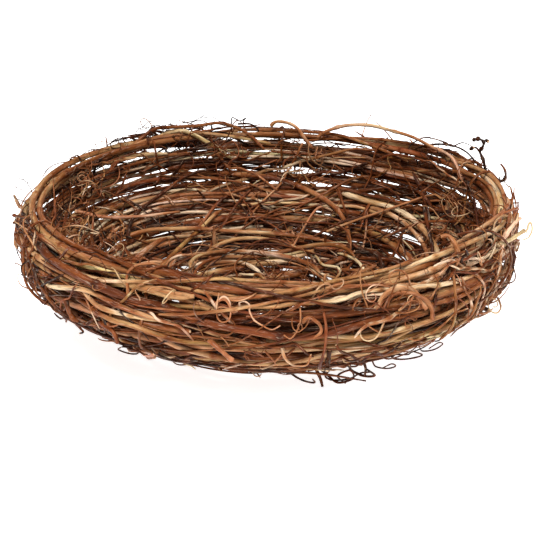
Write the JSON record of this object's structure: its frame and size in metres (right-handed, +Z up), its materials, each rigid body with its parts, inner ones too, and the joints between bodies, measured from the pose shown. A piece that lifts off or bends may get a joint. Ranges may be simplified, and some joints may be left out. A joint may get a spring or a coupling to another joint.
{
  "type": "bird nest",
  "caption": "Wide shallow bird nest wound from grapevine: coiled vines over a wall of packed fine stems, with bent stems on the floor and curled tendrils at the rim.",
  "frame": {"origin": "centre of the flat foot, on the surface that the nest rests on", "axes": "+Z up along the bowl's axis, -Y the front of the nest, +X to the right"},
  "size_m": [0.3041, 0.3031, 0.1157],
  "materials": {
    "fine_stems": "dull, dry fine stems",
    "tan_vine": "dry fibrous bark, low sheen",
    "red_vine": "dry fibrous bark, low sheen",
    "dark_shoot": "smooth dry shoot, low sheen",
    "pale_tendril": "smooth dry tendril, low sheen"
  },
  "bodies": {
    "root": {"packed_fine_stems": "fine_stems", "outer_vine_01": "tan_vine", "outer_vine_02": "red_vine", "outer_vine_03": "tan_vine", "outer_vine_04": "tan_vine", "outer_vine_05": "red_vine", "outer_vine_06": "tan_vine", "outer_vine_07": "tan_vine", "outer_vine_08": "red_vine", "outer_vine_09": "tan_vine", "outer_vine_10": "tan_vine", "outer_vine_11": "red_vine", "outer_vine_12": "tan_vine", "outer_vine_13": "tan_vine", "outer_vine_14": "red_vine", "outer_vine_15": "tan_vine", "inner_vine_01": "tan_vine", "inner_vine_02": "red_vine", "inner_vine_03": "tan_vine", "inner_vine_04": "tan_vine", "inner_vine_05": "red_vine", "inner_vine_06": "tan_vine", "inner_vine_07": "tan_vine", "inner_vine_08": "red_vine", "inner_vine_09": "tan_vine", "inner_vine_10": "tan_vine", "inner_vine_11": "red_vine", "inner_vine_12": "tan_vine", "rim_vine_01": "red_vine", "rim_vine_02": "tan_vine", "floor_stem_01": "red_vine", "floor_stem_02": "tan_vine", "floor_stem_03": "red_vine", "floor_stem_04": "tan_vine", "floor_stem_05": "red_vine", "floor_stem_06": "tan_vine", "sprung_rim_stem": "tan_vine", "hooked_rim_end": "tan_vine", "bud_shoot": "dark_shoot", "hooked_shoot": "dark_shoot", "forked_shoot": "pale_tendril", "arching_runner": "dark_shoot", "left_runner": "dark_shoot", "left_sprig": "dark_shoot", "poking_stick": "dark_shoot", "peeled_strap": "tan_vine", "curled_tendril": "pale_tendril", "curly_shoot": "dark_shoot"}
  },
  "joints": []
}
